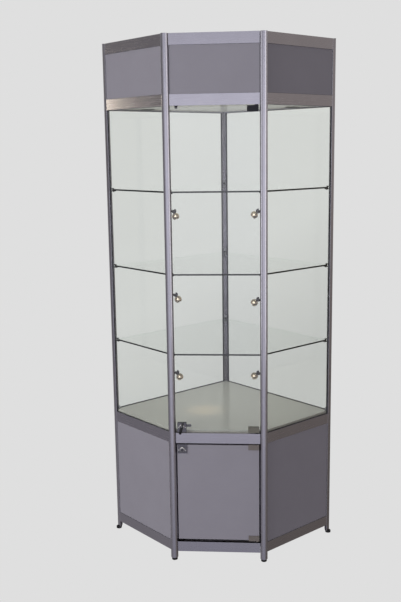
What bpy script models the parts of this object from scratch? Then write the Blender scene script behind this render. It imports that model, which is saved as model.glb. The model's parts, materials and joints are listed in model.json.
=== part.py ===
"""Corner display showcase with a five-sided plan, in metres, +Z up, front face towards -Y.

The plan is a square with its front corner cut off at 45 degrees. Five posts stand at its corners, rails
join them at four levels, and glass or infill panels sit in slots in the posts and the rails. The cut face
carries a glass door above and a cupboard door below, both on pivot clamps at their right-hand edge.
"""

from math import asin, atan2, cos, pi, radians, sin, sqrt

import bmesh
import bpy
from mathutils import Matrix, Vector

# Driving dimensions.
TOTAL_HEIGHT = 1.980
HALF_FRONT = 0.174  # from the middle of the front to a front post's axis
WALL = 0.622  # a back wall, post axis to post axis
RAIL_HEIGHT = 0.040
RAIL_THICK = 0.010
LIP = 0.001  # slope of a back rail's edge where its panel meets it
HEADER_RAIL_TOP = 1.772  # top of the rail under the header
BASE_RAIL_TOP = 0.518  # top of the rail over the cupboard
PLINTH_RAIL_TOP = 0.076  # top of the lowest rail
GAP = 0.0003  # between pieces that touch

# Posts and the slots that hold glass and panels.
ROUND_RADIUS = 0.014
LEG = 0.015  # an angle post's leg, from the axis to its end
CORNER_RADIUS = 0.006
BORE_RADIUS = 0.0033  # screw channel down the middle of each post
SLOT = 0.006
SLOT_BOTTOM = 0.007  # from a post's axis
SLOT_DEPTH = 0.008  # in a rail
GLASS = 0.005
PANEL = 0.005
PANE_END = 0.008  # from a post's axis to the end of the pane in its slot
PANE_BITE = 0.007  # how far a pane reaches into a rail's slot
POST_BOTTOM = 0.008
FOOT_RADIUS = 0.011

# Horizontal panels.
SHELF_LEVELS = (0.823, 1.126, 1.429)  # top faces
SHELF_THICK = 0.006
SHELF_INSET = 0.012
SHELF_CLEAR = 0.017  # radius kept free round a front post's axis
BOARD_INSET = 0.0056
BOARD_CLEAR = 0.0146
DECK_TOP = 0.527
DECK_THICK = 0.016
FLOOR_TOP = 0.066
FLOOR_THICK = 0.008
GLAND_FROM_REAR = 0.070  # in front of the rear post
GLAND_BORE = 0.0042
DECK_FRONT_INSET = 0.0115  # leaves room for the clamps and the lock's cam

# Doors.
DOOR_THICK = 0.006
DOOR_EDGE = 0.158
PIVOT_X = 0.148
GLASS_DOOR_LOW = 0.5256
GLASS_DOOR_HIGH = 1.7262
BASE_DOOR_LEFT = -0.1565
BASE_DOOR_RIGHT = 0.1560
BASE_DOOR_LOW = 0.0870
BASE_DOOR_HIGH = 0.4712
CLAMP_LENGTH = 0.041
CLAMP_RIGHT = 0.156
CLAMP_HEIGHT = 0.021
CLAMP_THICK = 0.014
WEB = 0.0026
PIN_RADIUS = 0.003
PIN_HOLE = 0.0033

# Locks.
LOCK_X = -0.1365
LOCK_WIDTH = 0.034
LOCK_HEIGHT = 0.036
LOCK_RISE = 0.021  # from the housing's outer web to the plug's axis
PLATE = 0.0042
PLUG_RADIUS = 0.006
PLUG_HOLE = 0.0063
DOOR_HOLE = 0.0075
BEZEL_RADIUS = 0.0095
BEZEL_FRONT = -0.0105
PLUG_FRONT = -0.0120
CAM_LENGTH = 0.041
CAM_TAIL = 0.006  # from the plug's axis to the cam's near end
KEY_TILT = radians(15)
KEY_FRONT = -0.0206  # the key bow's front face, from the front posts' line
KEY_BOW = (0.0105, 0.040, 0.0045)  # width, length and thickness
KEY_DROP = 0.008  # from the plug's axis down to the bow's middle

# Lamps.
LAMP_IN = 0.020  # knuckle's distance from the post's axis, across the front
LAMP_BACK = 0.026  # and towards the rear, clear of the opening door
LAMP_LEVELS = {"left": (1.357, 1.047, 0.748), "right": (1.355, 1.029, 0.748)}
LAMP_AIM = {"left": (16, 27, 30), "right": (46, 51, 52)}  # degrees from hanging straight down
LAMP_REACH = 0.020
LAMP_RADIUS = 0.0135
RING_RADIUS = 0.009

COLOURS = {
    "anodised_aluminium": ((0.42, 0.41, 0.46), 0.35, 0.9),
    "grey_panel": ((0.22, 0.22, 0.25), 0.45, 0.0),
    "clear_glass": ((0.75, 0.82, 0.79), 0.05, 0.0),
    "pale_board": ((0.45, 0.47, 0.42), 0.30, 0.0),
    "chrome": ((0.70, 0.68, 0.64), 0.15, 1.0),
    "clamp_metal": ((0.10, 0.10, 0.08), 0.40, 0.5),
    "black_plastic": ((0.02, 0.02, 0.02), 0.40, 0.0),
}

SIDE_STEP = (WALL / sqrt(2)) - HALF_FRONT
REAR_Y = SIDE_STEP + WALL / sqrt(2)
FRONT_Y = -(REAR_Y + FOOT_RADIUS + KEY_FRONT) / 2  # puts the middle of the whole depth at y = 0

POSTS = {
    "front_left": Vector((-HALF_FRONT, FRONT_Y)),
    "front_right": Vector((HALF_FRONT, FRONT_Y)),
    "side_right": Vector((HALF_FRONT + SIDE_STEP, FRONT_Y + SIDE_STEP)),
    "rear": Vector((0, FRONT_Y + REAR_Y)),
    "side_left": Vector((-HALF_FRONT - SIDE_STEP, FRONT_Y + SIDE_STEP)),
}
ORDER = ("front_left", "front_right", "side_right", "rear", "side_left")  # counterclockwise from above
WALLS = {
    "front": ("front_left", "front_right"),
    "right": ("front_right", "side_right"),
    "back_right": ("side_right", "rear"),
    "back_left": ("rear", "side_left"),
    "left": ("side_left", "front_left"),
}


def clear_scene():
    for old in list(bpy.data.objects):
        bpy.data.objects.remove(old, do_unlink=True)


def make_materials():
    for name, (colour, roughness, metallic) in COLOURS.items():
        material = bpy.data.materials.new(name)
        material.use_nodes = True
        shader = material.node_tree.nodes["Principled BSDF"]
        shader.inputs["Base Color"].default_value = (*colour, 1)
        shader.inputs["Roughness"].default_value = roughness
        shader.inputs["Metallic"].default_value = metallic


def make_collection(name, hidden=False):
    collection = bpy.data.collections.new(name)
    bpy.context.scene.collection.children.link(collection)
    collection.hide_render = hidden
    return collection


def add_object(name, data, material, collection=None):
    """An object of this mesh or curve, in the showcase's collection unless told otherwise."""
    made = bpy.data.objects.new(name, data)
    if material and not data.materials:
        data.materials.append(bpy.data.materials[material])
    (collection or bpy.data.collections["corner_showcase"]).objects.link(made)
    return made


def smooth(made, degrees=35):
    made.data.shade_smooth()
    made.data.set_sharp_from_angle(angle=radians(degrees))
    return made


def outline_mesh(name, outlines, depth):
    """A flat outline, with any further outlines as holes, given this depth along local Z and made a mesh."""
    curve = bpy.data.curves.new(name, "CURVE")
    curve.dimensions = "2D"
    curve.fill_mode = "BOTH"
    curve.extrude = depth / 2
    for points in outlines:
        spline = curve.splines.new("POLY")
        spline.points.add(len(points) - 1)
        for place, (x, y) in zip(spline.points, points):
            place.co = (x, y, 0, 1)
        spline.use_cyclic_u = True
    guide = bpy.data.objects.new(name + "_outline", curve)
    bpy.context.scene.collection.objects.link(guide)
    graph = bpy.context.evaluated_depsgraph_get()
    mesh = bpy.data.meshes.new_from_object(guide.evaluated_get(graph))
    bpy.data.objects.remove(guide, do_unlink=True)
    bpy.data.curves.remove(curve)
    mesh.name = name
    work = bmesh.new()
    work.from_mesh(mesh)
    bmesh.ops.remove_doubles(work, verts=work.verts, dist=1e-6)
    bmesh.ops.recalc_face_normals(work, faces=work.faces)
    work.to_mesh(mesh)
    work.free()
    return mesh


def wall_frame(wall):
    """Start point, length, direction along and unit vector into the cabinet, of a wall's centre line."""
    start, end = (POSTS[name] for name in WALLS[wall])
    along = (end - start).normalized()
    inward = Vector((-along.y, along.x))
    return start, (end - start).length, along, inward


def wall_matrix(wall, distance):
    """Takes local X to the wall's inward side, Y to up and Z along the wall, this far from its start."""
    start, _, along, inward = wall_frame(wall)
    place = start + along * distance
    return Matrix(
        (
            (inward.x, 0, along.x, place.x),
            (inward.y, 0, along.y, place.y),
            (0, 1, 0, 0),
            (0, 0, 0, 1),
        )
    )


def wall_piece(name, wall, section, ends, material):
    """A section in (thickness, height), extruded along a wall between these distances from its two posts."""
    length = wall_frame(wall)[1] - ends[0] - ends[1]
    made = add_object(name, outline_mesh(name, [section], length), material)
    made.matrix_world = wall_matrix(wall, ends[0] + length / 2)
    return made


def slotted_rail(low, high, slot_below, slot_above):
    """A rail's section, counterclockwise, with a slot for a pane in its lower or upper edge."""
    half, cut = RAIL_THICK / 2, SLOT / 2
    points = [(-half, low)]
    if slot_below:
        points += [(-cut, low), (-cut, low + SLOT_DEPTH), (cut, low + SLOT_DEPTH), (cut, low)]
    points += [(half, low), (half, high)]
    if slot_above:
        points += [(cut, high), (cut, high - SLOT_DEPTH), (-cut, high - SLOT_DEPTH), (-cut, high)]
    return points + [(-half, high)]


def framed_panel(low, high, slot_below, slot_above):
    """The section of two rails with a thin panel between them, in one piece. The rails' lips slope a little."""
    half, thin = RAIL_THICK / 2, PANEL / 2
    web_low, web_high = low + RAIL_HEIGHT, high - RAIL_HEIGHT
    below = slotted_rail(low, web_low, slot_below, False)
    above = slotted_rail(web_high, high, False, slot_above)
    right = [(thin, web_low + LIP), (thin, web_high - LIP)]
    left = [(-half, web_high), (-thin, web_high - LIP), (-thin, web_low + LIP), (-half, web_low)]
    return below[:-1] + right + above[1:] + left


def brick(name, low, high, material, collection=None):
    mesh = bpy.data.meshes.new(name)
    work = bmesh.new()
    middle = (Vector(low) + Vector(high)) / 2
    size = Vector(high) - Vector(low)
    matrix = Matrix.Translation(middle) @ Matrix.Diagonal((*size, 1))
    bmesh.ops.create_cube(work, size=1, matrix=matrix)
    work.to_mesh(mesh)
    work.free()
    return add_object(name, mesh, material, collection)


def rod(name, start, end, radius, sides, material, collection=None):
    """A closed cylinder between two points."""
    mesh = bpy.data.meshes.new(name)
    work = bmesh.new()
    axis = Vector(end) - Vector(start)
    turn = axis.to_track_quat("Z", "Y").to_matrix().to_4x4()
    matrix = Matrix.Translation((Vector(start) + Vector(end)) / 2) @ turn
    bmesh.ops.create_cone(
        work, cap_ends=True, segments=sides, radius1=radius, radius2=radius, depth=axis.length, matrix=matrix
    )
    work.to_mesh(mesh)
    work.free()
    return add_object(name, mesh, material, collection)


def combine(made, operation, tools):
    """Joins the tools to a piece or cuts them from it, with the result applied, and removes the tools."""
    for tool in tools:
        modifier = made.modifiers.new("combine", "BOOLEAN")
        modifier.operation = operation
        modifier.solver = "EXACT"
        modifier.object = tool
    bpy.context.view_layer.update()
    graph = bpy.context.evaluated_depsgraph_get()
    result = bpy.data.meshes.new_from_object(made.evaluated_get(graph))
    made.modifiers.clear()
    made.data = result
    for tool in tools:
        bpy.data.objects.remove(tool, do_unlink=True)
    return made


def circle(radius, count, middle=(0, 0)):
    turns = [2 * pi * index / count for index in range(count)]
    return [(middle[0] + radius * cos(turn), middle[1] + radius * sin(turn)) for turn in turns]


def arc(middle, radius, start, end, steps):
    turns = [start + (end - start) * index / steps for index in range(steps + 1)]
    return [(middle[0] + radius * cos(turn), middle[1] + radius * sin(turn)) for turn in turns]


def rounded(width, height, radius, steps=4, middle=(0, 0)):
    """A rectangle with rounded corners, counterclockwise."""
    points = []
    reach_x, reach_y = width / 2 - radius, height / 2 - radius
    for index, (side_x, side_y) in enumerate(((1, 1), (-1, 1), (-1, -1), (1, -1))):
        centre = (middle[0] + side_x * reach_x, middle[1] + side_y * reach_y)
        points += arc(centre, radius, index * pi / 2, (index + 1) * pi / 2, steps)
    return points


# ---- Posts ----


def wall_bearings(post):
    """The directions, as angles, in which this post's two walls leave it: the one before it, then after."""
    place = ORDER.index(post)
    before = POSTS[ORDER[place - 1]] - POSTS[post]
    after = POSTS[ORDER[(place + 1) % len(ORDER)]] - POSTS[post]
    return atan2(before.y, before.x), atan2(after.y, after.x)


def round_post_outline(bearings):
    """A circle with a slot towards each of its two walls."""
    mouth = asin(SLOT / 2 / ROUND_RADIUS)
    first, second = sorted(bearing % (2 * pi) for bearing in bearings)
    points = []
    for bearing, following in ((first, second), (second, first + 2 * pi)):
        across = Vector((-sin(bearing), cos(bearing))) * SLOT / 2
        bottom = Vector((cos(bearing), sin(bearing))) * SLOT_BOTTOM
        points += [tuple(bottom - across), tuple(bottom + across)]
        steps = max(8, round((following - bearing) / radians(11)))
        points += arc((0, 0), ROUND_RADIUS, bearing + mouth, following - mouth, steps)
    return points


def angle_post_outline():
    """A right-angled section with a leg along +X and one along +Y, each with a slot in its end."""
    half, cut = RAIL_THICK / 2, SLOT / 2
    centre = CORNER_RADIUS - half
    one_leg = [
        (LEG, -half),
        (LEG, -cut),
        (SLOT_BOTTOM, -cut),
        (SLOT_BOTTOM, cut),
        (LEG, cut),
        (LEG, half),
    ]
    other_leg = [(y, x) for x, y in reversed(one_leg)]
    return arc((centre, centre), CORNER_RADIUS, pi, 1.5 * pi, 8) + one_leg + [(half, half)] + other_leg


def make_posts():
    height = TOTAL_HEIGHT - POST_BOTTOM
    for name, place in POSTS.items():
        bearings = wall_bearings(name)
        if name.startswith("front"):
            outline, turn = round_post_outline(bearings), 0
        else:
            outline, turn = angle_post_outline(), bearings[1]
        mesh = outline_mesh(name, [outline, circle(BORE_RADIUS, 16)], height)
        post = add_object(f"post_{name}", mesh, "anodised_aluminium")
        middle = Vector((*place, POST_BOTTOM + height / 2))
        post.matrix_world = Matrix.Translation(middle) @ Matrix.Rotation(turn, 4, "Z")
        smooth(post)


# ---- Rails, panes and panels ----


def post_reach(post):
    """How far a rail's end stays from this post's axis."""
    return ROUND_RADIUS if post.startswith("front") else LEG + GAP


def rail_ends(wall):
    return tuple(post_reach(post) for post in WALLS[wall])


def make_rails():
    levels = {
        "top_rail": (TOTAL_HEIGHT, True, False),
        "header_rail": (HEADER_RAIL_TOP, True, True),
        "base_rail": (BASE_RAIL_TOP, True, True),
        "plinth_rail": (PLINTH_RAIL_TOP, False, True),
    }
    door_sides = {"header_rail": (False, True), "base_rail": (False, False), "plinth_rail": (False, False)}
    for wall in ("front", "left", "right"):
        for level, (high, below, above) in levels.items():
            if wall == "front" and level in door_sides:
                below, above = door_sides[level]
            section = slotted_rail(high - RAIL_HEIGHT, high, below, above)
            rail = wall_piece(f"{level}_{wall}", wall, section, rail_ends(wall), "anodised_aluminium")
            if wall == "front" and level in door_sides:
                drill_pivots(rail, high, level)


def drill_pivots(rail, high, level):
    """Sockets for the door pivots, in the lower edge, the upper edge or both."""
    depth = 0.012
    lower = high - RAIL_HEIGHT
    spans = {
        "header_rail": [(lower - depth, lower + depth)],
        "base_rail": [(lower - depth, lower + depth), (high - depth, high + depth)],
        "plinth_rail": [(high - depth, high + depth)],
    }
    cutters = []
    for low, top in spans[level]:
        ends = (PIVOT_X, FRONT_Y, low), (PIVOT_X, FRONT_Y, top)
        cutters.append(rod("socket", *ends, PIN_HOLE, 20, None, bpy.data.collections["cutters"]))
    combine(rail, "DIFFERENCE", cutters)


def make_panes():
    low, high = BASE_RAIL_TOP - PANE_BITE, HEADER_RAIL_TOP - RAIL_HEIGHT + PANE_BITE
    half = GLASS / 2
    section = [(-half, low), (half, low), (half, high), (-half, high)]
    for wall in ("left", "right", "back_left", "back_right"):
        wall_piece(f"glass_{wall}", wall, section, (PANE_END, PANE_END), "clear_glass")


def make_infill_panels():
    half = PANEL / 2
    header = (HEADER_RAIL_TOP - PANE_BITE, TOTAL_HEIGHT - RAIL_HEIGHT + PANE_BITE)
    base = (PLINTH_RAIL_TOP - PANE_BITE, BASE_RAIL_TOP - RAIL_HEIGHT + PANE_BITE)
    spans = [(f"fascia_{wall}", wall, header) for wall in ("front", "left", "right")]
    spans += [(f"base_panel_{wall}", wall, base) for wall in ("left", "right")]
    for name, wall, (low, high) in spans:
        section = [(-half, low), (half, low), (half, high), (-half, high)]
        wall_piece(name, wall, section, (PANE_END, PANE_END), "grey_panel")


def make_back_walls():
    for side in ("left", "right"):
        wall = f"back_{side}"
        header = framed_panel(HEADER_RAIL_TOP - RAIL_HEIGHT, TOTAL_HEIGHT, True, False)
        base = framed_panel(PLINTH_RAIL_TOP - RAIL_HEIGHT, BASE_RAIL_TOP, False, True)
        wall_piece(f"header_back_{side}", wall, header, rail_ends(wall), "grey_panel")
        wall_piece(f"base_back_{side}", wall, base, rail_ends(wall), "grey_panel")


# ---- Horizontal panels ----


def floor_outline(inset, clear, front_inset=None):
    """The five-sided plan drawn in by inset, with a round bite of radius clear at each front post."""
    insets = {wall: inset for wall in WALLS}
    insets["front"] = front_inset or inset
    points = []
    for index, post in enumerate(ORDER):
        before, after = list(WALLS)[index - 1], list(WALLS)[index]
        _, _, along_before, inward_before = wall_frame(before)
        _, _, along_after, inward_after = wall_frame(after)
        place = POSTS[post]
        offset_before, offset_after = inward_before * insets[before], inward_after * insets[after]
        if not post.startswith("front"):
            points.append(tuple(place + offset_before + offset_after))
            continue
        first = offset_before - along_before * sqrt(clear**2 - insets[before] ** 2)
        last = offset_after + along_after * sqrt(clear**2 - insets[after] ** 2)
        start, end = atan2(first.y, first.x), atan2(last.y, last.x)
        sweep = (end - start + pi) % (2 * pi) - pi
        points += arc(place, clear, start, start + sweep, 8)
    return points


def make_board(name, outline, top, thick, material):
    made = add_object(name, outline_mesh(name, [outline], thick), material)
    made.location.z = top - thick / 2
    return made


def make_boards():
    for index, top in enumerate(reversed(SHELF_LEVELS)):
        outline = floor_outline(SHELF_INSET, SHELF_CLEAR)
        make_board(f"shelf_{index + 1}", outline, top, SHELF_THICK, "clear_glass")
    plain = floor_outline(BOARD_INSET, BOARD_CLEAR)
    deck = floor_outline(BOARD_INSET, BOARD_CLEAR, DECK_FRONT_INSET)
    make_board("display_deck", deck, DECK_TOP, DECK_THICK, "pale_board")
    make_board("ceiling_panel", plain, HEADER_RAIL_TOP - RAIL_HEIGHT + 0.010, 0.006, "pale_board")
    make_board("roof_panel", plain, TOTAL_HEIGHT - 0.004, 0.006, "grey_panel")
    make_board("base_floor", plain, FLOOR_TOP, FLOOR_THICK, "grey_panel")


# ---- Doors, clamps and locks ----


def clamp_section(outer, inner):
    """A U that holds a door's edge, in (thickness, height): its web at outer, its mouth towards inner."""
    half, cut = CLAMP_THICK / 2, DOOR_THICK / 2 + GAP
    way = 1 if inner > outer else -1
    floor = outer + way * WEB
    points = [(-half, outer), (half, outer), (half, inner), (cut, inner)]
    return points + [(cut, floor), (-cut, floor), (-cut, inner), (-half, inner)]


def make_clamp(name, outer, way, material):
    """A pivot clamp whose web is at height outer. way is 1 where the door lies above it and -1 below."""
    section = clamp_section(outer, outer + way * CLAMP_HEIGHT)
    ends = (HALF_FRONT + CLAMP_RIGHT - CLAMP_LENGTH, HALF_FRONT - CLAMP_RIGHT)
    clamp = wall_piece(name, "front", section, ends, material)
    start = (PIVOT_X, FRONT_Y, outer + way * WEB / 2)
    end = (PIVOT_X, FRONT_Y, outer - way * 0.012)
    combine(clamp, "UNION", [rod("pin", start, end, PIN_RADIUS, 20, None)])


def make_door(name, box, material, lock_z):
    """A flat door leaf with a round hole for its lock's plug."""
    left, right, low, high = box
    leaf = brick(
        name,
        (left, FRONT_Y - DOOR_THICK / 2, low),
        (right, FRONT_Y + DOOR_THICK / 2, high),
        material,
    )
    ends = (LOCK_X, FRONT_Y - 0.02, lock_z), (LOCK_X, FRONT_Y + 0.02, lock_z)
    hole = rod("lock_hole", *ends, DOOR_HOLE, 24, None, bpy.data.collections["cutters"])
    return combine(leaf, "DIFFERENCE", [hole])


def make_lock(prefix, outer, way):
    """A housing that grips the door's edge at height outer, and a plug with its cam. Returns the plug's z."""
    plug_z = outer + way * LOCK_RISE
    cut = DOOR_THICK / 2 + GAP
    half = cut + PLATE
    inner = outer + way * LOCK_HEIGHT
    floor = outer + way * WEB
    section = [(-half, outer), (half, outer), (half, inner), (cut, inner)]
    section += [(cut, floor), (-cut, floor), (-cut, inner), (-half, inner)]
    ends = (HALF_FRONT + LOCK_X - LOCK_WIDTH / 2, HALF_FRONT - LOCK_X - LOCK_WIDTH / 2)
    housing = wall_piece(f"{prefix}_lock_housing", "front", section, ends, "chrome")
    front = (LOCK_X, FRONT_Y + BEZEL_FRONT, plug_z)
    bezel = rod("bezel", front, (LOCK_X, FRONT_Y - half + PLATE / 2, plug_z), BEZEL_RADIUS, 32, None)
    combine(housing, "UNION", [bezel])
    ends = (LOCK_X, FRONT_Y - 0.02, plug_z), (LOCK_X, FRONT_Y + 0.02, plug_z)
    bore = rod("bore", *ends, PLUG_HOLE, 32, None, bpy.data.collections["cutters"])
    smooth(combine(housing, "DIFFERENCE", [bore]))
    make_plug(f"{prefix}_lock_plug", plug_z, half)
    return plug_z


def make_plug(name, plug_z, half):
    """A turning plug with a keyway in front and a flat cam behind the housing, unlocked along the door."""
    back = half + GAP + 0.0022
    plug = rod(name, (0, PLUG_FRONT, 0), (0, back, 0), PLUG_RADIUS, 32, "chrome")
    outline = rounded(CAM_LENGTH, 0.010, 0.0045, middle=(CAM_LENGTH / 2 - CAM_TAIL, 0))
    cam = add_object("cam", outline_mesh("cam", [outline], 0.002), None)
    cam.matrix_world = Matrix.Translation((0, back - 0.001, 0)) @ Matrix.Rotation(pi / 2, 4, "X")
    combine(plug, "UNION", [cam])
    cutters = bpy.data.collections["cutters"]
    keyway = brick("keyway", (-0.0013, -0.02, -0.0043), (0.0013, 0.0055, 0.0043), None, cutters)
    keyway.rotation_euler.y = KEY_TILT
    combine(plug, "DIFFERENCE", [keyway])
    plug.location = (LOCK_X, FRONT_Y, plug_z)
    smooth(plug)


def make_key(plug_z):
    """A folding key: a flat blade in the keyway and a bow that hangs down in front of the plug."""
    key = brick("key", (-0.001, -0.0175, -0.004), (0.001, 0.005, 0.004), "black_plastic")
    width, length, thick = KEY_BOW
    outline = rounded(width, length, 0.005, steps=6, middle=(0, -KEY_DROP))
    bow = add_object("bow", outline_mesh("bow", [outline], thick), None)
    bow.matrix_world = Matrix.Translation((0, KEY_FRONT + thick / 2, 0)) @ Matrix.Rotation(pi / 2, 4, "X")
    combine(key, "UNION", [bow])
    key.location = (LOCK_X, FRONT_Y, plug_z)
    key.rotation_euler.y = KEY_TILT
    smooth(key)


def make_doors():
    upper_web = GLASS_DOOR_HIGH + GAP + WEB
    lower_web = GLASS_DOOR_LOW - GAP - WEB
    make_clamp("glass_door_clamp_top", upper_web, -1, "black_plastic")
    make_clamp("glass_door_clamp_bottom", lower_web, 1, "clamp_metal")
    glass_lock_z = make_lock("glass_door", lower_web, 1)
    box = (-DOOR_EDGE, DOOR_EDGE, GLASS_DOOR_LOW, GLASS_DOOR_HIGH)
    make_door("glass_door", box, "clear_glass", glass_lock_z)
    make_key(glass_lock_z)
    upper_web = BASE_DOOR_HIGH + GAP + WEB
    lower_web = BASE_DOOR_LOW - GAP - WEB
    make_clamp("base_door_clamp_top", upper_web, -1, "clamp_metal")
    make_clamp("base_door_clamp_bottom", lower_web, 1, "clamp_metal")
    base_lock_z = make_lock("base_door", upper_web, -1)
    box = (BASE_DOOR_LEFT, BASE_DOOR_RIGHT, BASE_DOOR_LOW, BASE_DOOR_HIGH)
    make_door("base_door", box, "grey_panel", base_lock_z)


# ---- Lamps, feet and cable gland ----


def make_lamp(name, place, side, aim):
    """A ball lamp head on a knuckle ring. The ring's axis is local Y; the head hangs aim radians inwards."""
    washer = [circle(RING_RADIUS, 24), circle(0.004, 16)]
    lamp = add_object(name, outline_mesh(name, washer, 0.006), "chrome")
    lamp.data.transform(Matrix.Rotation(pi / 2, 4, "X"))
    mesh = bpy.data.meshes.new("head")
    work = bmesh.new()
    bmesh.ops.create_uvsphere(work, u_segments=24, v_segments=12, radius=LAMP_RADIUS)
    lens = bmesh.ops.bisect_plane(
        work,
        geom=work.verts[:] + work.edges[:] + work.faces[:],
        plane_co=(0, 0, -0.0095),
        plane_no=(0, 0, -1),
        clear_outer=True,
    )
    rim = [piece for piece in lens["geom_cut"] if isinstance(piece, bmesh.types.BMEdge)]
    bmesh.ops.contextual_create(work, geom=rim)
    bmesh.ops.recalc_face_normals(work, faces=work.faces)
    work.to_mesh(mesh)
    work.free()
    head = add_object("head", mesh, None)
    head.location.z = -LAMP_REACH
    combine(lamp, "UNION", [head])
    lamp.location = place
    lamp.rotation_euler.y = -side * aim
    smooth(lamp)


def make_lamps():
    """Three lamps behind each front post, one under each shelf."""
    for side_name, side in (("left", 1), ("right", -1)):
        for index, level in enumerate(LAMP_LEVELS[side_name]):
            place = (side * (LAMP_IN - HALF_FRONT), FRONT_Y + LAMP_BACK, level)
            aim = radians(LAMP_AIM[side_name][index])
            make_lamp(f"lamp_{side_name}_{index + 1}", place, side, aim)


def turned(name, profile, steps, material):
    """A profile of (radius, height) points, top to bottom, turned about Z. It may close on its first point."""
    mesh = bpy.data.meshes.new(name)
    edges = [(index, index + 1) for index in range(len(profile) - 1)]
    if profile[0] == profile[-1]:
        profile = profile[:-1]
        edges[-1] = (len(profile) - 1, 0)
    mesh.from_pydata([(radius, 0, height) for radius, height in profile], edges, [])
    made = add_object(name, mesh, material)
    screw = made.modifiers.new("turn", "SCREW")
    screw.steps = screw.render_steps = steps
    screw.use_merge_vertices = True
    screw.merge_threshold = 0.00001
    screw.use_smooth_shade = False
    return made


def make_feet():
    """Levelling feet: a pad on a threaded stem that runs up into the post's screw channel."""
    pad_top = POST_BOTTOM - GAP
    profile = [
        (0, 0.042),
        (0.0030, 0.042),
        (0.0030, pad_top),
        (0.0092, pad_top),
        (0.0106, 0.0060),
        (FOOT_RADIUS, 0.0015),
        (0.0098, 0),
        (0, 0),
    ]
    for name, place in POSTS.items():
        foot = turned(f"foot_{name}", profile, 24, "black_plastic")
        foot.location = (*place, 0)


def make_gland():
    """A cable gland down through the cupboard floor, near the rear post."""
    place = Vector((0, FRONT_Y + REAR_Y - GLAND_FROM_REAR, FLOOR_TOP - FLOOR_THICK / 2))
    down = Vector((0, 0, -0.02))
    cutter = rod("gland_hole", place - down, place + down, 0.0063, 24, None, bpy.data.collections["cutters"])
    combine(bpy.data.objects["base_floor"], "DIFFERENCE", [cutter])
    face = FLOOR_THICK / 2 + GAP
    profile = [
        (GLAND_BORE, 0.0120),
        (0.0060, 0.0120),
        (0.0060, -face),
        (0.0086, -face),
        (0.0086, -0.0150),
        (0.0068, -0.0180),
        (GLAND_BORE, -0.0180),
        (GLAND_BORE, 0.0120),
    ]
    turned("cable_gland", profile, 24, "black_plastic").location = place


def main():
    clear_scene()
    make_materials()
    make_collection("corner_showcase")
    make_collection("cutters", hidden=True)
    make_posts()
    make_rails()
    make_panes()
    make_infill_panels()
    make_back_walls()
    make_boards()
    make_doors()
    make_lamps()
    make_feet()
    make_gland()


main()
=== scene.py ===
# %% [markdown]
# # A corner display showcase, finished
#
# The cabinet has a five-sided plan: a square with its front corner cut off. Five aluminium posts stand at the
# corners, rails join them at four levels, and glass or grey infill panels sit in slots between them. A glass
# door and a cupboard door hang on pivot clamps in the cut face.
#
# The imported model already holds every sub-part at its real place. This lesson adds what the eye expects of
# the real thing: drawn and anodised metal, laminate, float glass with green edges, gaskets, shelf clips, small
# spotlights, lock trims and screws.

# %% Load the fixed frame
import json

import bmesh
import bpy
import numpy as np
from mathutils import Matrix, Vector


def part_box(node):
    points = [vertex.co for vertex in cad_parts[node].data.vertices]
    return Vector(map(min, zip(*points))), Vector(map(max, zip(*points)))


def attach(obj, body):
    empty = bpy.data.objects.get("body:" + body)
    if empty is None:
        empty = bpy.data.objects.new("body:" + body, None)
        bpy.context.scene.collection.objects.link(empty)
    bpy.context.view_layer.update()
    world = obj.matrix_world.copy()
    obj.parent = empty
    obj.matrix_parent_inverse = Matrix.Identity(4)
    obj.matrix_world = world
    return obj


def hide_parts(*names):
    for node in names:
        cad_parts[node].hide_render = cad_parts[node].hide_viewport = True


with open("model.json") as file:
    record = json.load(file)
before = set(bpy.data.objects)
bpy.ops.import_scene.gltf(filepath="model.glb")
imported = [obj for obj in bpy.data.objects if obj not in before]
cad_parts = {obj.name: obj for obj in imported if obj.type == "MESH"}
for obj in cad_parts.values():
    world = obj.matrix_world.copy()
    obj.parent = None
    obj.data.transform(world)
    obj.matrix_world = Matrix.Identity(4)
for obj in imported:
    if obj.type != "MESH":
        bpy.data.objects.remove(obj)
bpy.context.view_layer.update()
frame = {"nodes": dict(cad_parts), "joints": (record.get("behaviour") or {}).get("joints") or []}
MM = 0.001


# %% [markdown]
# ## Where things are
#
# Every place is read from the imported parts. A levelling foot is turned about its post's axis, so the middle of
# a foot's box is that axis. A wall is the line between two posts, and its frame has three directions: along
# the wall, up, and outwards.

# %% Posts, walls and levels
POST_NAMES = ("front_left", "front_right", "side_right", "rear", "side_left")


def middle(node):
    low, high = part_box(node)
    return (np.array(low) + np.array(high)) / 2


AXES = {name: middle(f"foot_{name}")[:2] for name in POST_NAMES}
WALLS = {
    "front": ("front_left", "front_right"),
    "right": ("front_right", "side_right"),
    "back_right": ("side_right", "rear"),
    "back_left": ("rear", "side_left"),
    "left": ("side_left", "front_left"),
}
UP = np.array([0.0, 0.0, 1.0])
FRONT_Y = AXES["front_left"][1]
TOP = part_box("top_rail_front")[1].z
LEVELS = {name: (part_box(f"{name}_front")[0].z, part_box(f"{name}_front")[1].z)
          for name in ("top_rail", "header_rail", "base_rail", "plinth_rail")}
print("post axes:", {name: axis.round(4).tolist() for name, axis in AXES.items()})
print("rail levels:", {name: (round(low, 4), round(high, 4)) for name, (low, high) in LEVELS.items()})


def unit(vector):
    return np.asarray(vector, float) / np.linalg.norm(vector)


def wall_frame(wall, distance, height):
    """(origin, along, up, outwards): a place on a wall's centre line, this far from its first post."""
    start, end = (AXES[name] for name in WALLS[wall])
    along = unit([*(end - start), 0])
    return np.array([*start, height]) + along * distance, along, UP, np.cross(along, UP)


def wall_length(wall):
    start, end = (AXES[name] for name in WALLS[wall])
    return float(np.linalg.norm(end - start))


# %% [markdown]
# ## Surfaces as arrays
#
# A shape here is a pair: its points, and blocks of faces that list points by number. One helper turns a grid
# of points into four-sided faces, another closes an end with a single flat face, and `piece` gathers shapes
# into an object. Merging doubles afterwards closes the seam of a turned shape and the point at its pole.

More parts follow.
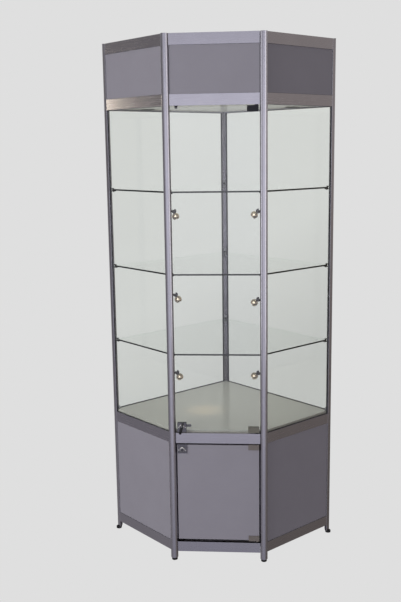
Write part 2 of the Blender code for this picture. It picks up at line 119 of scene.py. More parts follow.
# %% Grids, caps and pieces
def grid_shape(grid, wrap_rows=False, wrap_columns=False, caps=False):
    """Faces between neighbours in an n by m grid of points: (i, j), (i, j+1), (i+1, j+1), (i+1, j).

    A wrapped direction joins its last line to its first. Caps close the first and last rows."""
    rows, columns = grid.shape[:2]
    row = np.arange(rows if wrap_rows else rows - 1)[:, None]
    column = np.arange(columns if wrap_columns else columns - 1)[None, :]
    below, beside = (row + 1) % rows, (column + 1) % columns
    corners = [row * columns + column, row * columns + beside, below * columns + beside, below * columns + column]
    blocks = [np.stack(np.broadcast_arrays(*corners), axis=-1).reshape(-1, 4)]
    if caps:
        blocks.append(np.arange(columns)[None, ::-1])
        blocks.append(np.arange(columns)[None, :] + (rows - 1) * columns)
    return grid.reshape(-1, 3), blocks


def piece(name, body, material, shapes, sharp=35, replaces=()):
    """One object made of these shapes. It rides on a body and may stand for CAD nodes."""
    starts = np.cumsum([0] + [len(points) for points, _ in shapes[:-1]])
    faces = [face for start, (_, blocks) in zip(starts, shapes) for block in blocks
             for face in (block + start).tolist()]
    mesh = bpy.data.meshes.new(name)
    mesh.from_pydata(np.concatenate([points for points, _ in shapes]), [], faces)
    work = bmesh.new()
    work.from_mesh(mesh)
    bmesh.ops.remove_doubles(work, verts=work.verts, dist=2e-6)
    bmesh.ops.recalc_face_normals(work, faces=work.faces)
    work.to_mesh(mesh)
    work.free()
    mesh.materials.append(material)
    mesh.shade_smooth()
    mesh.set_sharp_from_angle(angle=np.radians(sharp))
    made = bpy.data.objects.new(name, mesh)
    bpy.context.scene.collection.objects.link(made)
    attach(made, body)
    if replaces:
        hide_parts(*replaces)
    return made


# %% [markdown]
# Three families cover most of the small hardware. A turned shape carries a profile of (radius, height) round an
# axis. A slab is a rounded rectangle with eased edges, as a stamped plate or a moulded block has. A rim is one
# profile carried round a rectangle with mitred corners, like a gasket or a picture frame.

# %% Turned shapes, slabs and rims
def turned(profile, place, steps=32, closed=False):
    """Point (angle a, k) = origin + height_k * out + radius_k * (cos a * right + sin a * up).

    place is (origin, right, up, out), and closed joins the profile's last point to its first."""
    origin, right, up, out = place
    angle = np.linspace(0, 2 * np.pi, steps, endpoint=False)[:, None, None]
    radius, height = np.array(profile).T[:, None, :, None]
    grid = origin + height * out + radius * (np.cos(angle) * right + np.sin(angle) * up)
    return grid_shape(grid, wrap_rows=True, wrap_columns=closed)


def rounded_rectangle(width, height, radius, steps=5):
    """Corner k is an arc of this radius from k * 90 degrees, centred in from the corner by the radius."""
    turn = np.linspace(0, np.pi / 2, steps)[None, :] + np.arange(4)[:, None] * np.pi / 2
    signs = np.array([[1, 1], [-1, 1], [-1, -1], [1, -1]])[:, None, :]
    centres = signs * np.array([width / 2 - radius, height / 2 - radius])
    return (centres + radius * np.stack([np.cos(turn), np.sin(turn)], axis=-1)).reshape(-1, 2)


def slab(width, height, thick, corner, place, ease=0.0004):
    """A rounded rectangle whose outline shrinks by `ease` over the last `ease` of its thickness."""
    origin, right, up, out = place
    shrink = np.array([ease, 0.3 * ease, 0, 0, 0.3 * ease, ease])
    depth = np.array([0, 0.3 * ease, ease, thick - ease, thick - 0.3 * ease, thick]) - thick / 2
    outlines = np.stack([rounded_rectangle(width - 2 * s, height - 2 * s, max(corner - s, 1e-5)) for s in shrink])
    grid = origin + outlines[..., :1] * right + outlines[..., 1:] * up + depth[:, None, None] * out
    return grid_shape(grid, wrap_columns=True, caps=True)


def rim(width, height, profile, place):
    """Corner (sx, sy), profile (p, q): origin + sx (w/2 - p) right + sy (h/2 - p) up + q out."""
    origin, right, up, out = place
    signs = np.array([[1, 1], [-1, 1], [-1, -1], [1, -1]])
    inset, depth = np.array(profile).T
    x, y = signs[:, :1] * (width / 2 - inset), signs[:, 1:] * (height / 2 - inset)
    grid = origin + x[..., None] * right + y[..., None] * up + depth[None, :, None] * out
    return grid_shape(grid, wrap_rows=True, wrap_columns=True)


def swept(outline, path, right, caps=True):
    """The outline's (x, y) at each path point: point + x * side + y * normal.

    side is `right` made square to the path's direction there, and normal is direction x side."""
    path = np.asarray(path, float)
    direction = np.gradient(path, axis=0)
    direction /= np.linalg.norm(direction, axis=1, keepdims=True)
    side = right - (direction @ right)[:, None] * direction
    side /= np.linalg.norm(side, axis=1, keepdims=True)
    normal = np.cross(direction, side)
    outline = np.asarray(outline)
    grid = path[:, None] + outline[None, :, :1] * side[:, None] + outline[None, :, 1:] * normal[:, None]
    return grid_shape(grid, wrap_columns=True, caps=caps)


print("shape helpers ready: grid_shape, turned, slab, rim, swept")


# %% [markdown]
# ## Materials
#
# One function turns a colour from the hex form of paint charts into the linear values that light adds up in.
# One function adds a node, sets its properties and fills its inputs, by name or number, with values or links.

# %% Colour and node helpers
def linear(hex_colour, alpha=1.0):
    """sRGB hex to linear: c / 12.92 below 0.04045, and ((c + 0.055) / 1.055) to the power 2.4 above."""
    coded = np.array([int(hex_colour[index:index + 2], 16) for index in (1, 3, 5)]) / 255
    straight = np.where(coded <= 0.04045, coded / 12.92, ((coded + 0.055) / 1.055) ** 2.4)
    return (*straight.tolist(), alpha)


def node(tree, kind, inputs=None, **settings):
    made = tree.nodes.new("ShaderNode" + kind)
    for key, value in settings.items():
        setattr(made, key, value)
    for key, value in (inputs or {}).items():
        if isinstance(value, bpy.types.NodeSocket):
            tree.links.new(value, made.inputs[key])
        else:
            made.inputs[key].default_value = value
    return made


def new_material(name, **constants):
    """A material with a Principled shader whose constant inputs are given by name, spaces as underscores."""
    material = bpy.data.materials.new(name)
    material.use_nodes = True
    tree = material.node_tree
    shader = tree.nodes["Principled BSDF"]
    for key, value in constants.items():
        shader.inputs[key.replace("_", " ")].default_value = value
    return material, tree, shader


def place_pattern(tree, turn=0.0, scale=(1, 1, 1)):
    """Object coordinates turned about Z by this many degrees, then scaled along each axis."""
    spot = node(tree, "TexCoord").outputs["Object"]
    turned_spot = node(tree, "Mapping", {"Vector": spot, "Rotation": (0, 0, -np.radians(turn))})
    return node(tree, "Mapping", {"Vector": turned_spot.outputs[0], "Scale": scale}).outputs[0]


def spread(tree, factor, low, high):
    """A 0 to 1 value spread between two roughnesses or two hex colours."""
    if isinstance(low, str):
        ramp = node(tree, "ValToRGB", {"Fac": factor})
        ramp.color_ramp.elements[0].color = linear(low)
        ramp.color_ramp.elements[1].color = linear(high)
        return ramp.outputs["Color"]
    made = node(tree, "MapRange", {"Value": factor, "To Min": low, "To Max": high})
    return made.outputs["Result"]


def relief(tree, shader, height, depth_mm, strength=1.0):
    """Bump from a 0 to 1 height, of this depth on the real surface."""
    bump = node(tree, "Bump", {"Height": height, "Distance": depth_mm * MM, "Strength": strength})
    tree.links.new(bump.outputs["Normal"], shader.inputs["Normal"])


# %% [markdown]
# ### Anodised aluminium
#
# Posts and rails are pushed hot through a die, which leaves faint lines along their whole length, and are then
# etched and anodised to a satin silver. The lines show as a soft streak in the highlight, never as scratches.
# The real lines are about 0.1 mm apart, too fine for any view of a whole cabinet, so they are drawn 2 mm apart
# and shallow. The pattern is stretched along the extrusion: upright on posts, along the wall on rails.

# %% Anodised aluminium extrusion
DIE_LINES = 1 / (2 * MM)
ALONG = 0.012


def anodised_extrusion(name, turn=0.0, upright=False):
    """Satin metal with lines along Z, or along the direction `turn` degrees round from +X."""
    material, tree, shader = new_material(name, Metallic=1.0)
    scale = (1, 1, ALONG) if upright else (ALONG, 1, 1)
    spot = place_pattern(tree, turn, tuple(DIE_LINES * factor for factor in scale))
    lines = node(tree, "TexNoise", {"Vector": spot, "Scale": 1.0, "Detail": 3.0, "Roughness": 0.6})
    bloom = node(tree, "TexNoise", {"Vector": place_pattern(tree), "Scale": 14.0, "Detail": 4.0})
    tree.links.new(spread(tree, bloom.outputs["Fac"], "#B4B2B9", "#BEBCC3"), shader.inputs["Base Color"])
    tree.links.new(spread(tree, lines.outputs["Fac"], 0.21, 0.31), shader.inputs["Roughness"])
    relief(tree, shader, lines.outputs["Fac"], 0.02)
    return material


POST_METAL = anodised_extrusion("anodised_post_extrusion", upright=True)
WALL_TURNS = {"front": 0, "right": 45, "back_right": 135, "back_left": 45, "left": 135}
RAIL_METAL = {turn: anodised_extrusion(f"anodised_rail_extrusion_{turn}", turn) for turn in (0, 45, 135)}
print("die lines drawn every", round(1000 / DIE_LINES, 1), "mm")


# %% [markdown]
# ### Grey laminate, pale melamine
#
# The infill panels and the cupboard door are thin board faced with a grey laminate. A laminate has a very fine
# pebbled skin that breaks the highlight up, and a faint mottle in its print. The deck and the ceiling are
# melamine of a greenish white with a half gloss, so the deck mirrors the posts softly.

# %% Faced boards
def faced_board(name, low, high, rough_low, rough_high, pebble_mm, depth_mm):
    """A printed board: a slow mottle in its colour and a fine pebble in its skin and gloss."""
    material, tree, shader = new_material(name, Metallic=0.0)
    spot = place_pattern(tree)
    mottle = node(tree, "TexNoise", {"Vector": spot, "Scale": 9.0, "Detail": 6.0, "Roughness": 0.65})
    pebble = node(tree, "TexVoronoi", {"Vector": spot, "Scale": 1 / (pebble_mm * MM)}, feature="SMOOTH_F1")
    tree.links.new(spread(tree, mottle.outputs["Fac"], low, high), shader.inputs["Base Color"])
    tree.links.new(spread(tree, pebble.outputs["Distance"], rough_low, rough_high), shader.inputs["Roughness"])
    relief(tree, shader, pebble.outputs["Distance"], depth_mm)
    return material


GREY_LAMINATE = faced_board("grey_laminate_pebbled", "#8D8A91", "#96939B", 0.36, 0.48, 1.8, 0.03)
PALE_MELAMINE = faced_board("pale_melamine_half_gloss", "#C8C7BE", "#D0CFC5", 0.16, 0.24, 4.0, 0.01)
print("faced boards:", GREY_LAMINATE.name, PALE_MELAMINE.name)


# %% [markdown]
# ### Float glass
#
# A clear pane shows its surroundings through it, takes a little light away, tints it slightly green, and
# reflects more at a glancing view. Its polished edge is seen through a long stretch of glass, so it looks
# almost black, with a trace of green. Light has to reach the goods inside, so the face lets light straight
# through rather than bending it: a Transparent shader with a share of mirror. That share is Schlick's rule,
# 0.04 + 0.96 (1 - cos)^5, worked out from the facing of the surface, because a Fresnel node inside unbent glass
# would turn it into a mirror past 42 degrees. The tint is close to none. It darkens towards the bottom and
# slightly to one side, and that darkening is painted shade. The door's glass is a touch darker than the
# panes'. Edge faces are picked out by the surface's own direction, which turns with the door. An edge is dark
# where its front is seen. Seen through the glass from behind it is left faint, because a real far edge is
# blurred by the pane before it.

# %% Float glass
def edge_mask(tree, edge_axis):
    """1 on a pane's edges. 'upright' panes have edges towards Z or X, 'flat' shelves have sides away from Z."""
    part = node(tree, "SeparateXYZ", {0: node(tree, "TexCoord").outputs["Normal"]})
    lifted = node(tree, "Math", {0: part.outputs["Z"]}, operation="ABSOLUTE").outputs[0]
    if edge_axis == "flat":
        return node(tree, "Math", {0: lifted, 1: 0.5}, operation="LESS_THAN").outputs[0]
    sideways = node(tree, "Math", {0: part.outputs["X"]}, operation="ABSOLUTE").outputs[0]
    largest = node(tree, "Math", {0: lifted, 1: sideways}, operation="MAXIMUM").outputs[0]
    return node(tree, "Math", {0: largest, 1: 0.9}, operation="GREATER_THAN").outputs[0]


def mirror_share(tree):
    """Schlick: 0.04 + 0.96 f^5, with f = 1 - cos of the angle to the view."""
    facing = node(tree, "LayerWeight", {"Blend": 0.5}).outputs["Facing"]
    steep = node(tree, "Math", {0: facing, 1: 5.0}, operation="POWER").outputs[0]
    return node(tree, "Math", {0: steep, 1: 0.96, 2: 0.04}, operation="MULTIPLY_ADD").outputs[0]


# Painted shade in the panes: darkest at the top of the base rail, gone halfway up to the header, tilted along x by
# the slope.
GLASS_LOW = LEVELS["base_rail"][1]
SHADE_FADE_TOP = GLASS_LOW + 0.5 * (LEVELS["header_rail"][0] - GLASS_LOW)
SHADE_SLOPE = -0.6


def float_glass(name, edge_axis, shaded_tint="#F8F9F8", high_tint="#FEFFFE"):
    """Face: a see-through tint with painted shade, darkest where z + slope x is low, mixed with a mirror. Edge:
    dark where it faces us, faint behind.
    """
    material, tree, shader = new_material(name, Roughness=0.3, Metallic=0.0, Specular_IOR_Level=0.12)
    streak = node(tree, "TexNoise", {"Vector": place_pattern(tree), "Scale": 60.0, "Detail": 2.0}).outputs["Fac"]
    tree.links.new(spread(tree, streak, "#040908", "#0D1713"), shader.inputs["Base Color"])
    relief(tree, shader, streak, 0.05)
    smudge = node(tree, "TexNoise", {"Vector": place_pattern(tree), "Scale": 5.0, "Detail": 5.0}).outputs["Fac"]
    spot = node(tree, "SeparateXYZ", {0: node(tree, "TexCoord").outputs["Object"]})
    # Painted shade: the see-through tint darkens towards low z and along x.
    height = node(tree, "Math", {0: spot.outputs["X"], 1: SHADE_SLOPE, 2: spot.outputs["Z"]},
                  operation="MULTIPLY_ADD")
    shade_fade = node(tree, "MapRange", {"Value": height.outputs[0], "From Min": GLASS_LOW, "From Max": SHADE_FADE_TOP})
    clear = node(tree, "BsdfTransparent", {"Color": spread(tree, shade_fade.outputs["Result"], shaded_tint, high_tint)})
    mirror = node(tree, "BsdfGlossy", {"Color": linear("#FFFFFF"), "Roughness": spread(tree, smudge, 0.0, 0.03)})
    face = node(tree, "MixShader", {0: mirror_share(tree), 1: clear.outputs[0], 2: mirror.outputs[0]})
    leaving = node(tree, "NewGeometry").outputs["Backfacing"]
    faint = node(tree, "BsdfTransparent", {"Color": linear("#F3F6F4")})
    edge = node(tree, "MixShader", {0: leaving, 1: shader.outputs[0], 2: faint.outputs[0]})
    whole = node(tree, "MixShader", {0: edge_mask(tree, edge_axis), 1: face.outputs[0], 2: edge.outputs[0]})
    tree.links.new(whole.outputs[0], tree.nodes["Material Output"].inputs["Surface"])
    return material


PANE_GLASS = float_glass("float_glass_pane", "upright")
DOOR_GLASS = float_glass("float_glass_door", "upright", "#F5F6F5", "#F9FAF9")
SHELF_GLASS = float_glass("float_glass_shelf", "flat", "#FBFCFB", "#FDFEFD")
print("glass:", PANE_GLASS.name, DOOR_GLASS.name, SHELF_GLASS.name)


# %% [markdown]
# ### Hardware finishes
#
# Chrome plate mirrors everything sharply, with a trace of the polishing underneath. Nickel is warmer: polished
# over brass it is almost gold, and black nickel is near black. The lock housings and barrels are chrome drawn
# in a dull grey, which is a painted dark reflection. Die-cast clamps have a satin paint over a slightly grainy
# casting. The four clamps are one casting, and each tone is taken from how that clamp looks: the black of the
# glass door's top clamp is painted shade, and the olive and taupe of the others are painted reflection of the
# surroundings. It is black, olive or taupe here, which is a guess from how each one looks. Moulded black parts
# have a fine spark-eroded texture, and gaskets are soft and matt.

# %% Chrome, painted castings, mouldings and rubber
def finish(name, low, high, rough_low, rough_high, grain_mm, depth_mm, **constants):
    """A finish whose grain changes its colour, gloss and height together."""
    material, tree, shader = new_material(name, **constants)
    grain = node(tree, "TexNoise", {"Vector": place_pattern(tree), "Scale": 1 / (grain_mm * MM), "Detail": 4.0})
    tree.links.new(spread(tree, grain.outputs["Fac"], low, high), shader.inputs["Base Color"])
    tree.links.new(spread(tree, grain.outputs["Fac"], rough_low, rough_high), shader.inputs["Roughness"])
    relief(tree, shader, grain.outputs["Fac"], depth_mm)
    return material


CHROME = finish("chrome_plate_on_zinc", "#CFCDC8", "#DAD8D4", 0.06, 0.12, 6.0, 0.01, Metallic=1.0)
STEEL = finish("zinc_plated_steel", "#9A9B9E", "#B4B5B8", 0.25, 0.40, 1.5, 0.02, Metallic=1.0)
# One clamp casting in three tones: the black is painted shade, and the olive and taupe are painted reflection of
# the surroundings.
CLAMP_PAINTED_REFLECTION_OLIVE = finish("zinc_casting_painted_reflection_olive", "#66645A", "#716F64", 0.35, 0.50, 1.2, 0.03)
CLAMP_PAINTED_REFLECTION_TAUPE = finish("zinc_casting_painted_reflection_taupe", "#6B6461", "#777069", 0.35, 0.50, 1.2, 0.03)
CLAMP_PAINTED_SHADE = finish("zinc_casting_painted_shade_black", "#0A0B11", "#12141C", 0.40, 0.55, 1.2, 0.03)
BLACK_MOULDING = finish("black_abs_spark_texture", "#0B0B0D", "#151517", 0.45, 0.60, 0.8, 0.03)
BLACK_NICKEL = finish("black_nickel_plated_steel", "#3A3839", "#4C4A4A", 0.24, 0.36, 1.5, 0.02, Metallic=1.0)
WARM_NICKEL = finish("polished_nickel_on_brass", "#F0DCC0", "#F8E8CF", 0.10, 0.18, 6.0, 0.01, Metallic=1.0)
DARK_GASKET = finish("black_epdm_gasket", "#26272A", "#303135", 0.60, 0.80, 1.0, 0.03)
GASKET = finish("grey_epdm_gasket", "#5B5B60", "#66666B", 0.55, 0.75, 1.0, 0.03)
# Painted dark reflection: the lock's chrome drawn in a dull grey.
LOCK_CHROME_PAINTED_DARK = finish("chrome_on_zinc_painted_dark_reflection", "#66656A", "#7A797E", 0.16, 0.26, 5.0, 0.02, Metallic=1.0)
SMOKED_TRIM = finish("smoked_grey_downlight_trim", "#4A4C4C", "#5A5C5C", 0.25, 0.4, 2.0, 0.02)


def lit_lens(name, centre_hex, strength):
    """A frosted lamp lens: warm light with a faint honeycomb from the reflector behind it."""
    material, tree, shader = new_material(name, Roughness=0.2)
    cells = node(tree, "TexVoronoi", {"Vector": place_pattern(tree), "Scale": 1 / (2.5 * MM)})
    glow = spread(tree, cells.outputs["Distance"], centre_hex, "#FFD9A0")
    tree.links.new(glow, shader.inputs["Base Color"])
    tree.links.new(glow, shader.inputs["Emission Color"])
    shader.inputs["Emission Strength"].default_value = strength
    return material


WARM_LENS = lit_lens("frosted_lens_warm_halogen", "#FFF1D2", 2.0)
DOWNLIGHT_LENS = lit_lens("frosted_lens_downlight", "#FFF6E2", 0.35)
print("materials so far:", len(bpy.data.materials))


# %% [markdown]
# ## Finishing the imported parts
#
# Rails, panels, panes, boards, clamps and locks already have their true shape, so they stay and only take
# their finish. The two back walls are one part each at the header and at the base: grey laminate between two
# metal rails. Their material changes over by height, where the real joint between board and rail runs.

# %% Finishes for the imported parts
RAIL_HEIGHT = LEVELS["header_rail"][1] - LEVELS["header_rail"][0]


def back_wall(name, low, high, turn):
    """Laminate between two rails: metal below low + rail height and above high - rail height."""
    material = GREY_LAMINATE.copy()
    material.name = name
    tree = material.node_tree
    shader = tree.nodes["Principled BSDF"]
    metal = node(tree, "BsdfPrincipled", {"Metallic": 1.0, "Roughness": 0.34})
    lines = node(tree, "TexNoise", {"Vector": place_pattern(tree, turn, (DIE_LINES * ALONG, DIE_LINES, DIE_LINES)),
                                    "Scale": 1.0, "Detail": 3.0})
    tree.links.new(spread(tree, lines.outputs["Fac"], "#B0B0B9", "#C0C0C9"), metal.inputs["Base Color"])
    height = node(tree, "SeparateXYZ", {0: node(tree, "TexCoord").outputs["Object"]}).outputs["Z"]
    from_middle = node(tree, "Math", {0: height, 1: (low + high) / 2}, operation="SUBTRACT")
    distance = node(tree, "Math", {0: from_middle.outputs[0]}, operation="ABSOLUTE")
    board_half = (high - low) / 2 - RAIL_HEIGHT
    on_rail = node(tree, "Math", {0: distance.outputs[0], 1: board_half}, operation="GREATER_THAN")
    whole = node(tree, "MixShader", {0: on_rail.outputs[0], 1: shader.outputs[0], 2: metal.outputs[0]})
    tree.links.new(whole.outputs[0], tree.nodes["Material Output"].inputs["Surface"])
    return material


FINISHES = {
    "fascia_": GREY_LAMINATE,
    "base_panel_": GREY_LAMINATE,
    "base_door": GREY_LAMINATE,
    "roof_panel": GREY_LAMINATE,
    "base_floor": GREY_LAMINATE,
    "display_deck": PALE_MELAMINE,
    "ceiling_panel": PALE_MELAMINE,
    "glass_": PANE_GLASS,
    "glass_door": DOOR_GLASS,
    "shelf_": SHELF_GLASS,
    # Painted reflection on the bottom and cupboard clamps, painted shade on the glass door's top clamp.
    "glass_door_clamp_bottom": CLAMP_PAINTED_REFLECTION_OLIVE,
    "glass_door_clamp_top": CLAMP_PAINTED_SHADE,
    "base_door_clamp": CLAMP_PAINTED_REFLECTION_TAUPE,
    # The lock housings and barrels take chrome with a painted dark reflection.
    "glass_door_lock": LOCK_CHROME_PAINTED_DARK,
    "base_door_lock": LOCK_CHROME_PAINTED_DARK,
    "foot_": BLACK_MOULDING,
    "cable_gland": BLACK_MOULDING,
}


def give(name, material):
    slots = frame["nodes"][name].data.materials
    slots.clear()
    slots.append(material)


for name in frame["nodes"]:
    matching = [start for start in FINISHES if name.startswith(start)]
    if matching:
        give(name, FINISHES[max(matching, key=len)])
for wall in ("front", "left", "right"):
    for level in LEVELS:
        give(f"{level}_{wall}", RAIL_METAL[WALL_TURNS[wall]])
for side in ("left", "right"):
    for level in ("header", "base"):
        low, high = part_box(f"{level}_back_{side}")
        turn = WALL_TURNS[f"back_{side}"]
        give(f"{level}_back_{side}", back_wall(f"{level}_back_wall_{side}", low.z, high.z, turn))
print("finished in place:", sum(1 for made in frame["nodes"].values() if made.data.materials))


# %% [markdown]
# ## Posts
#
# The two front posts are round tubes, 28 mm across, with a 6 mm slot towards each wall. The other three are
# right-angled sections with a slot in each leg's end. A post has the same section all the way up, so it is one
# outline carried along Z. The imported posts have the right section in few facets; these are finer, and their
# slot lips and ends are eased as a deburred cut is, which is what catches the light along a real post.

# %% Post sections
ROUND_RADIUS = 14 * MM
LEG_END = 15 * MM
HALF_SECTION = 5 * MM
OUTER_CORNER = 6 * MM
HALF_SLOT = 3 * MM
SLOT_FLOOR = 7 * MM
LIP = 0.5 * MM
POST_FOOT = 10.5 * MM


def arc(centre, radius, start, end, steps):
    """centre + radius (cos a, sin a), for a from start to end."""
    angle = np.linspace(start, end, steps)
    return np.array(centre) + radius * np.stack([np.cos(angle), np.sin(angle)], axis=-1)


def bearings_of(post):
    """Angles, in order, at which this post's two walls leave it."""
    ends = [end for pair in WALLS.values() if post in pair for end in pair if end != post]
    return sorted(np.arctan2(*(AXES[end] - AXES[post])[::-1]) % (2 * np.pi) for end in ends)


def round_post_outline(post):
    """For each slot at bearing b: lips at (R cos m, +-w), floor at 7 mm, then an arc on to the next slot."""
    first, second = bearings_of(post)
    mouth = np.arcsin((HALF_SLOT + LIP) / ROUND_RADIUS)
    lip_depth = np.sqrt(ROUND_RADIUS**2 - HALF_SLOT**2) - LIP
    outline = []
    for bearing, following in ((first, second), (second, first + 2 * np.pi)):
        reach = np.array([lip_depth, SLOT_FLOOR, SLOT_FLOOR, lip_depth])[:, None]
        offset = np.array([-HALF_SLOT, -HALF_SLOT, HALF_SLOT, HALF_SLOT])[:, None]
        along, across = arc((0, 0), 1, bearing, bearing, 1)[0], arc((0, 0), 1, bearing + np.pi / 2, 0, 1)[0]
        outline.append(reach * along + offset * across)
        steps = max(12, int(np.degrees(following - bearing) / 4))
        outline.append(arc((0, 0), ROUND_RADIUS, bearing + mouth, following - mouth, steps))
    return np.concatenate(outline)


def angle_post_outline(post):
    """Legs along +X and +Y with slotted ends and a rounded outer corner, turned to the post's walls."""
    inside = OUTER_CORNER - HALF_SECTION
    leg = np.array([(LEG_END - LIP, -HALF_SECTION), (LEG_END, -HALF_SECTION + LIP), (LEG_END, -HALF_SLOT),
                    (SLOT_FLOOR, -HALF_SLOT), (SLOT_FLOOR, HALF_SLOT), (LEG_END, HALF_SLOT),
                    (LEG_END, HALF_SECTION - LIP), (LEG_END - LIP, HALF_SECTION)])
    corner = arc((inside, inside), OUTER_CORNER, np.pi, 1.5 * np.pi, 12)
    fillet = arc((HALF_SECTION + LIP, HALF_SECTION + LIP), LIP, 1.5 * np.pi, np.pi, 4)
    outline = np.concatenate([corner, leg, fillet, leg[::-1, ::-1]])
    low, high = bearings_of(post)
    turn = low if high - low < np.pi else high
    return outline @ np.array([[np.cos(turn), np.sin(turn)], [-np.sin(turn), np.cos(turn)]])


def post_shape(post, outline):
    """The outline carried up Z. It is drawn in by 2% over the last 0.4 mm at each end, where it is deburred."""
    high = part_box(f"post_{post}")[1]
    ease = 0.4 * MM
    heights = np.array([POST_FOOT, POST_FOOT + ease, high.z - ease, high.z])
    drawn = np.array([0.98, 1, 1, 0.98])
    flat = outline[None] * drawn[:, None, None] + AXES[post]
    grid = np.concatenate([flat, np.broadcast_to(heights[:, None, None], (*flat.shape[:2], 1))], axis=-1)
    return grid_shape(grid, wrap_columns=True, caps=True)


for post in POST_NAMES:
    outline = round_post_outline(post) if post.startswith("front") else angle_post_outline(post)
    piece(f"post_{post}_extrusion", "cabinet", POST_METAL, [post_shape(post, outline)], sharp=25,
          replaces=[f"post_{post}"])
    print(post, "outline points:", len(outline))


# %% [markdown]
# A button-head screw in each post's screw channel holds the top frame down. Its head is a turned dome with a
# hexagon socket.

# %% Button-head screws
def button_head(place, radius, rise):
    """Profile: flat socket floor, socket wall to 45% of the radius, then a dome (r, rise cos) to the rim."""
    sweep = np.linspace(0.35, np.pi / 2, 7)
    dome = np.stack([radius * np.sin(sweep), rise * np.cos(sweep)], axis=-1)
    socket = [(0, rise * 0.3), (radius * 0.4, rise * 0.3), (radius * 0.42, dome[0][1])]
    return turned([*socket, *(point for point in dome[1:]), (0, 0)], place, steps=24)


X_AXIS, Y_AXIS = np.array([1.0, 0, 0]), np.array([0, 1.0, 0])
for post, axis in AXES.items():
    place = (np.array([*axis, TOP]), X_AXIS, Y_AXIS, UP)
    piece(f"post_top_screw_{post}", "cabinet", STEEL, [button_head(place, 5.2 * MM, 1.8 * MM)])
print("post-top screws:", len(AXES))


# %% [markdown]
# A levelling foot closes the bottom of each post: a moulded black pad, 22 mm across, on a threaded stem that
# screws up into the post. The pad's side is nearly upright and its rims are rounded, as a moulding's are.

# %% Levelling feet
PAD = np.array([(0, 0), (9.8, 0), (11.0, 0.9), (11.2, 2.2), (11.2, 7.5),
                (10.2, 9.6), (9.4, 10.0), (3.0, 10.0)]) * MM


def threaded_stem(start, end, pitch, radius, depth):
    """Radius R - depth (0.5 + 0.5 cos(2 pi z / pitch)), for z from start to end: rolled thread as rings."""
    height = np.linspace(start, end, 120)
    return np.stack([radius - depth * (0.5 + 0.5 * np.cos(2 * np.pi * height / pitch)), height], axis=-1)


stem = threaded_stem(10.0 * MM, 42.0 * MM, 1.5 * MM, 3.0 * MM, 0.4 * MM)
for post, axis in AXES.items():
    place = (np.array([*axis, 0]), X_AXIS, Y_AXIS, UP)
    profile = np.concatenate([PAD, stem, [(0, stem[-1][1])]])
    piece(f"foot_{post}_pad", f"foot_{post}", BLACK_MOULDING, [turned(profile, place, steps=40)],
          replaces=[f"foot_{post}"])
print("levelling feet:", len(AXES))


# %% [markdown]
# ## Gaskets
#
# Each pane and panel sits in a slot a little wider than itself, and a soft wedge gasket pressed in from both
# sides stops it rattling. On the front and the sides only a thin grey line shows, under 1 mm wide. The back
# walls have a wider, darker one, which starts at the deck and draws the line round it. Each gasket is one wedge
# section carried round the opening, with mitred corners.

# %% Wedge gaskets round panes and panels
PANE_HALF = 2.5 * MM
DECK_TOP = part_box("display_deck")[1].z
WEDGE = np.array([(-0.3, 0.05), (0.6, 0.05), (0.9, 0.4), (0.6, 1.1), (-0.3, 2.2)]) * MM
WIDE_WEDGE = np.array([(-0.3, 0.05), (1.3, 0.05), (1.6, 0.5), (1.1, 1.3), (-0.3, 2.4)]) * MM


def post_edge(post):
    return ROUND_RADIUS - 0.3 * MM if post.startswith("front") else LEG_END


def gasket(name, wall, low, high):
    """The wedge on both sides of the pane: its width is measured out from the pane's face, then carried round."""
    start, end = (post_edge(post) for post in WALLS[wall])
    width = wall_length(wall) - start - end
    origin, along, up, outwards = wall_frame(wall, start + width / 2, (low + high) / 2)
    wedge, rubber = (WIDE_WEDGE, DARK_GASKET) if wall.startswith("back") else (WEDGE, GASKET)
    both = []
    for side in (1, -1):
        profile = np.stack([wedge[:, 0], side * (wedge[:, 1] + PANE_HALF)], axis=-1)
        both.append(rim(width, high - low, profile, (origin, along, up, outwards)))
    return piece(name, "cabinet", rubber, both)


for wall in WALLS:
    if wall != "front":
        foot = DECK_TOP if wall.startswith("back") else LEVELS["base_rail"][1]
        gasket(f"gasket_glass_{wall}", wall, foot, LEVELS["header_rail"][0])
for wall in ("front", "left", "right"):
    gasket(f"gasket_fascia_{wall}", wall, LEVELS["header_rail"][1], LEVELS["top_rail"][0])
for wall in ("left", "right"):
    gasket(f"gasket_base_{wall}", wall, LEVELS["plinth_rail"][1], LEVELS["base_rail"][0])
print("gaskets: 4 panes, 3 fascia panels, 2 base panels")


# %% [markdown]
# ## Shelf clips
#
# A shelf rests on five clips, one on each post. A clip is a narrow steel plate screwed flat to the post, with a
# pair of dark jaws that grip the shelf's corner between them. The jaws point along the line that halves the
# angle between the post's two walls. The deck has a plain steel block at each side post instead.

# %% Shelf clips
JAW_WIDTH = 9 * MM
PLATE = (10 * MM, 36 * MM, 2 * MM)


def inward(post):
    """Unit vector that halves the angle between the post's two walls, pointing into the cabinet."""
    first, second = (arc((0, 0), 1, bearing, bearing, 1)[0] for bearing in bearings_of(post))
    return unit([*(first + second), 0])


